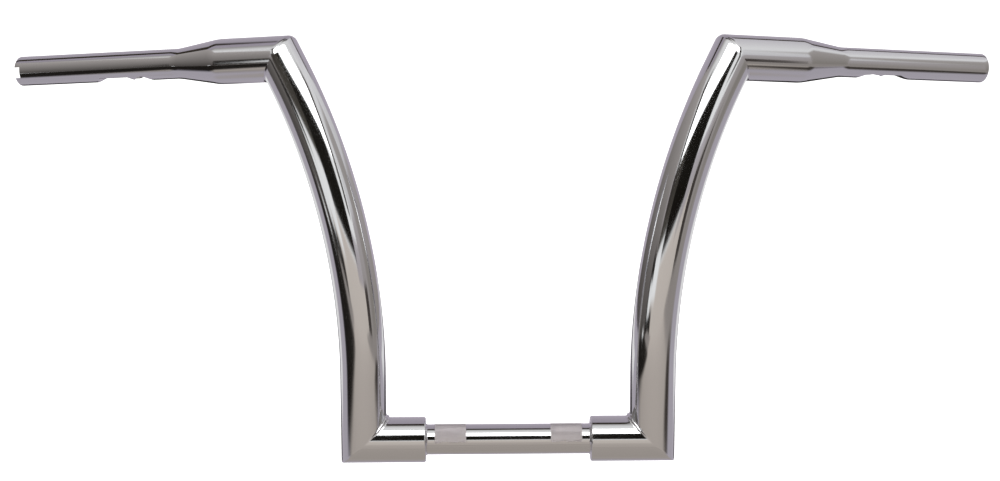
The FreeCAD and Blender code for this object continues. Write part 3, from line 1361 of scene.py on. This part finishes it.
@dataclass(frozen=True)
class Studio:
    """Pale floor, soft light and the camera of the photograph."""

    floor_level: float = -0.30
    bench_lift: float = 0.01
    floor_size: float = 30.0
    floor_colour: str = "#E6E6E6"
    floor_lift: float = 0.30
    shade_from: float = 0.45
    shade_to: float = 0.9
    fill: float = 0.5
    focal_pixels: float = 2233.24
    image_width: int = 1000
    sensor_mm: float = 36.0
    camera_place: tuple[float, float, float] = (-0.050448, -1.8, 0.553084)
    camera_pitch: float = -0.20941
    camera_yaw: float = -0.02421
    key_angle: float = math.radians(51.5)
    key_distance: float = 2.5
    key_size: tuple[float, float] = (4.4, 1.08)
    key_power: float = 44.0

    def floor(self) -> None:
        """Pale matte floor that takes the bar's shadow, lifted to white where it is looked at further off."""
        paint = bpy.data.materials.new("matte_floor_paint")
        tree = new_tree(paint)
        matte = add_node(tree, "ShaderNodeBsdfDiffuse", Color=linear(self.floor_colour))
        place = add_node(tree, "ShaderNodeTexCoord").outputs["Object"]
        away = add_node(tree, "ShaderNodeVectorMath", {"operation": "LENGTH"}, in0=place)
        white = add_node(
            tree, "ShaderNodeMapRange", Value=away.outputs["Value"], From_Min=self.shade_from,
            From_Max=self.shade_to, To_Min=self.floor_lift, To_Max=1.0,
        )
        lift = add_node(
            tree, "ShaderNodeMath", {"operation": "MULTIPLY"}, in0=seen_rays(tree),
            in1=white.outputs["Result"],
        )
        glow = add_node(tree, "ShaderNodeEmission", Strength=lift.outputs[0])
        both = add_node(tree, "ShaderNodeAddShader", in0=matte.outputs["BSDF"], in1=glow.outputs["Emission"])
        add_node(tree, "ShaderNodeOutputMaterial", Surface=both.outputs["Shader"])
        mesh = bmesh.new()
        level = Matrix.Translation((0.0, 0.0, self.floor_level))
        bmesh.ops.create_grid(mesh, x_segments=1, y_segments=1, size=self.floor_size / 2, matrix=level)
        new_object("floor", mesh, [paint])

    def world(self) -> None:
        """White room where it is looked at, and a soft fill elsewhere."""
        room = bpy.data.worlds.new("white_room")
        bpy.context.scene.world = room
        tree = new_tree(room)
        fill = add_node(tree, "ShaderNodeBackground", Color=linear("#FFFFFF"), Strength=self.fill)
        white = add_node(tree, "ShaderNodeBackground", Color=linear("#FFFFFF"), Strength=1.0)
        both = add_node(
            tree, "ShaderNodeMixShader", in0=seen_rays(tree), in1=fill.outputs["Background"],
            in2=white.outputs["Background"],
        )
        add_node(tree, "ShaderNodeOutputWorld", Surface=both.outputs["Shader"])

    def key(self) -> None:
        """Large softbox above the camera."""
        lamp = bpy.data.lights.new("softbox", "AREA")
        lamp.shape = "RECTANGLE"
        lamp.size, lamp.size_y = self.key_size
        lamp.energy = self.key_power
        box = bpy.data.objects.new("softbox", lamp)
        bpy.context.scene.collection.objects.link(box)
        centre = Vector((0.0, -math.cos(self.key_angle), math.sin(self.key_angle))) * self.key_distance
        aim = (-centre).to_track_quat("-Z", "Y").to_matrix().to_4x4()
        box.matrix_world = Matrix.Translation(centre) @ aim
        box.visible_camera = False

    def camera(self) -> None:
        """Camera at the photograph's viewing angle."""
        lens = bpy.data.cameras.new("camera")
        lens.sensor_fit = "HORIZONTAL"
        lens.sensor_width = self.sensor_mm
        lens.lens = self.focal_pixels / self.image_width * self.sensor_mm
        lens.clip_end = 2 * self.floor_size
        eye = bpy.data.objects.new("camera", lens)
        bpy.context.scene.collection.objects.link(eye)
        tilt = Matrix.Rotation(math.pi / 2 + self.camera_pitch, 4, "X")
        turn = Matrix.Rotation(self.camera_yaw, 4, "Z") @ tilt
        eye.matrix_world = Matrix.Translation(self.camera_place) @ turn
        bpy.context.scene.camera = eye

    def build(self) -> None:
        """Set up floor, light, the glowing cards that paint the plate's reflections, and camera."""
        bpy.context.scene.view_settings.view_transform = "Standard"
        self.floor()
        self.world()
        self.key()
        # Glowing cards that only the metal sees: painted reflections on the plate, and no lamps.
        PaintedReflectionRoom(self.floor_level + self.bench_lift).build()
        self.camera()


def main() -> None:
    """Build the bar piece by piece, then the studio."""
    logging.basicConfig(level=logging.INFO, format="%(name)s %(message)s")
    sizes = BarSizes()
    materials = Materials.make()
    ClampTube(sizes).build(materials)
    seat_lengths = {Side.LEFT: 148.0 * MM, Side.RIGHT: 158.0 * MM}
    wirings = {
        Side.LEFT: Wiring(
            dimple_start=79.0 * MM, dimple_outer_ramp=10.0 * MM, dimple_flat=17.0 * MM,
            hole_from_end=118.3 * MM, hole_drawn=6.5 * MM,
        ),
        Side.RIGHT: Wiring(
            dimple_start=77.5 * MM, dimple_outer_ramp=5.0 * MM, dimple_flat=27.5 * MM,
            hole_from_end=123.0 * MM,
        ),
    }
    for side in Side:
        half = HalfBar(side, sizes)
        Stub(half).build(materials)
        Riser(half).build(materials)
        GripTube(half, wirings[side], seat_lengths[side], notched=side is Side.RIGHT).build(materials)
    Studio().build()


if __name__ == "__main__":
    main()
